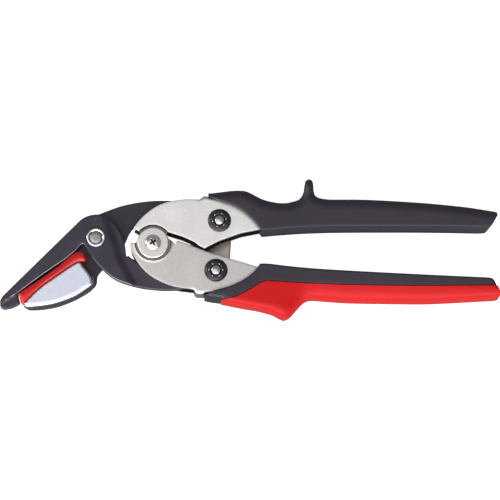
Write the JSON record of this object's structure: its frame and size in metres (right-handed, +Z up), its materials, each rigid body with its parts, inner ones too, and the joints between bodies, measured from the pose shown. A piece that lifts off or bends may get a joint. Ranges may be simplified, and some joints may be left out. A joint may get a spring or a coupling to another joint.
{
  "type": "compound-leverage strap cutter",
  "caption": "Compound-leverage snips with linked channel frames, moulded grips, a beak and knife blade, a red hold-down pad and a closing latch.",
  "frame": {"origin": "centre of the handle pivot bolt's flat rear head, on the plane the closed tool lies on", "axes": "+X along the tool from the jaws to the grips, +Y from the lower handle to the upper handle, +Z up, out of the front face, parallel to every pivot"},
  "size_m": [0.2481, 0.0755, 0.02],
  "materials": {
    "blackened_steel": "satin black oxide and lacquer",
    "plated_steel": "fine satin nickel plating",
    "pin_steel": "turned steel",
    "bright_steel": "bright plated",
    "cap_steel": "blackened spring steel",
    "black_grip": "fine matt moulding",
    "red_grip": "smooth satin moulding",
    "red_rubber": "smooth semi-gloss rubber"
  },
  "bodies": {
    "lower_handle": {"lower_handle_frame": "plated_steel", "lower_grip_core": "black_grip", "lower_grip_cover": "red_grip", "handle_pivot_bolt": "pin_steel", "handle_pivot_sleeve": "pin_steel", "handle_pivot_washer": "plated_steel", "handle_pivot_screw": "bright_steel", "lower_link_pin": "bright_steel", "lower_link_bush": "pin_steel", "lower_star_lock": "cap_steel", "lower_opening_spring": "pin_steel"},
    "upper_handle": {"upper_handle_frame": "plated_steel", "upper_grip": "black_grip", "upper_link_pin": "bright_steel", "upper_link_bush": "pin_steel", "upper_star_lock": "cap_steel", "upper_opening_spring": "pin_steel"},
    "beak": {"beak_blade": "blackened_steel", "blade_pivot_rivet": "pin_steel", "blade_pivot_collar": "bright_steel"},
    "knife": {"knife_blade": "blackened_steel", "hold_down_pad": "red_rubber", "hold_down_shoe": "bright_steel", "shoe_rivet_1": "pin_steel", "shoe_rivet_2": "pin_steel"},
    "latch": {"latch_plate": "plated_steel"}
  },
  "joints": [
    {"name": "handle_pivot", "type": "hinge", "parent": "lower_handle", "child": "upper_handle", "pos_m": [0, 0, 0.01], "axis": [0, 0, 1], "range_deg": [0, 34]},
    {"name": "lower_link", "type": "hinge", "parent": "lower_handle", "child": "beak", "pos_m": [0.0322, -0.0116, 0.01], "axis": [0, 0, 1], "range_deg": [0, 9.3]},
    {"name": "blade_pivot", "type": "hinge", "parent": "beak", "child": "knife", "pos_m": [-0.0286, 0.0008, 0.01], "axis": [0, 0, 1], "range_deg": [0, 17.3]},
    {"name": "latch_pivot", "type": "hinge", "parent": "lower_handle", "child": "latch", "pos_m": [0.0322, -0.0116, 0.01], "axis": [0, 0, 1], "range_deg": [-20, 0]}
  ],
  "couplings": [
    {"joint": "lower_link", "follows": "handle_pivot", "ratio": 0.271},
    {"joint": "blade_pivot", "follows": "handle_pivot", "ratio": 0.5062}
  ]
}
